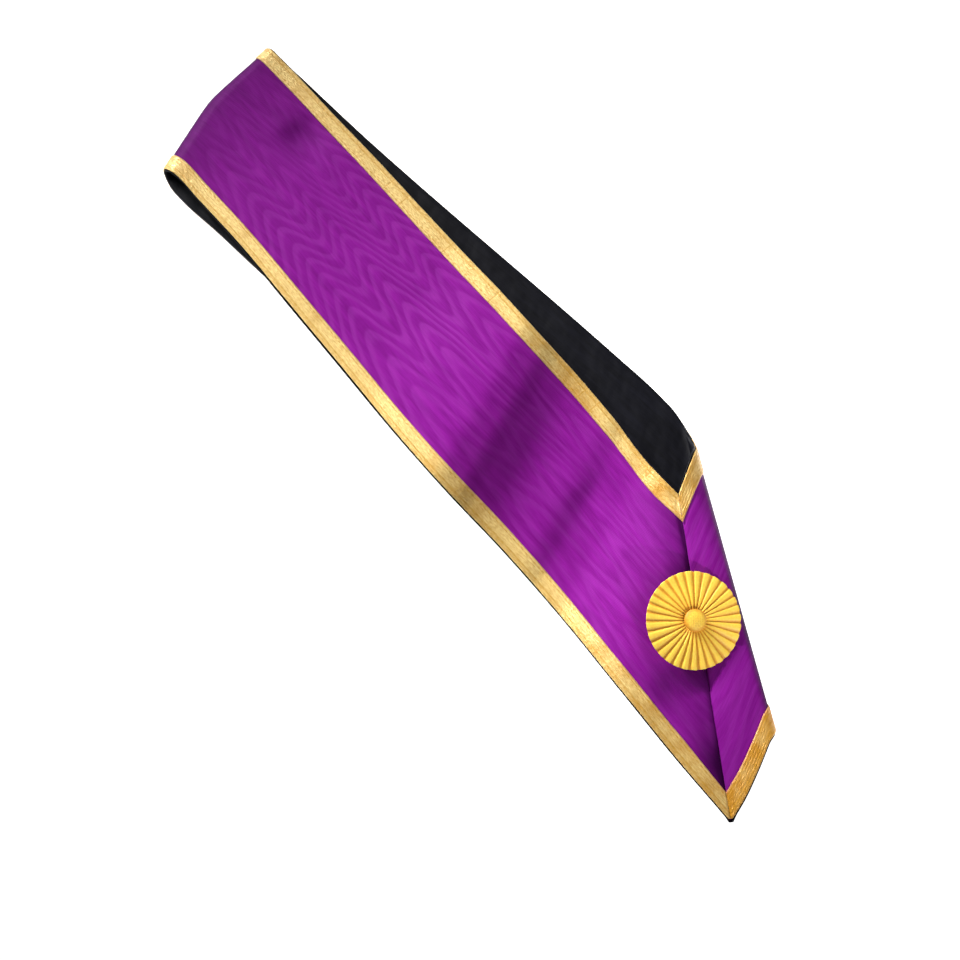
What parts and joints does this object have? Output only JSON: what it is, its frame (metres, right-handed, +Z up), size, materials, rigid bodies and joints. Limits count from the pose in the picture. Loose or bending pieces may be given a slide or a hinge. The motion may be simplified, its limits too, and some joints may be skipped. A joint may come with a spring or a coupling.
{
  "type": "regalia collar",
  "caption": "Ribbon regalia collar, a wide moire band mitred to a V with lace edges, a lining and a pleated rosette, lying folded nearly in half.",
  "frame": {"origin": "middle of the collar's box, at the surface that it lies on", "axes": "+X along the upper arm from the back of the neck to the point of the V, +Y towards the neck-hole edge of the band, +Z up"},
  "size_m": [0.5534, 0.1444, 0.0333],
  "materials": {
    "purple_moire_silk": "watered ribbed silk",
    "black_satin": "satin",
    "gold_lace": "woven metallic braid",
    "yellow_satin": "pleated satin"
  },
  "bodies": {
    "root": {"moire_ribbon_face": "purple_moire_silk", "black_satin_lining": "black_satin", "outer_edge_lace": "gold_lace", "inner_edge_lace": "gold_lace", "rosette_pleats": "yellow_satin", "rosette_button": "yellow_satin"}
  },
  "joints": []
}
